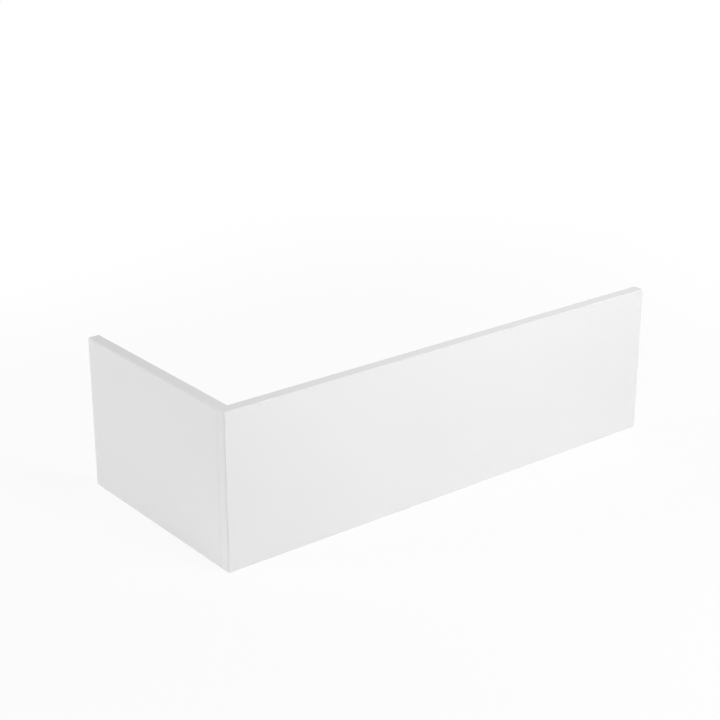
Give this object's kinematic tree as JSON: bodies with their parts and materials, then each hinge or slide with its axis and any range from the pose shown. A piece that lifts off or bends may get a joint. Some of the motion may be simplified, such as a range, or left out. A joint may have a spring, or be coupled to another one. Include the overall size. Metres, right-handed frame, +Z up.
{
  "type": "bath panel",
  "caption": "L-shaped bath panel: a long front panel with turned-back edges and a shorter end panel lapped to it at the corner, closing the open sides under a built-in bath's rim.",
  "frame": {"origin": "on the floor, under the centre of the bath that the panels close in", "axes": "+X along the front panel towards the wall end, +Y from the front panel towards the back of the bath, +Z up; the end panel is on the -X side"},
  "size_m": [1.8, 0.8, 0.536],
  "materials": {
    "white_acrylic": "gloss"
  },
  "bodies": {
    "root": {"front_panel": "white_acrylic", "end_panel": "white_acrylic"}
  },
  "joints": []
}
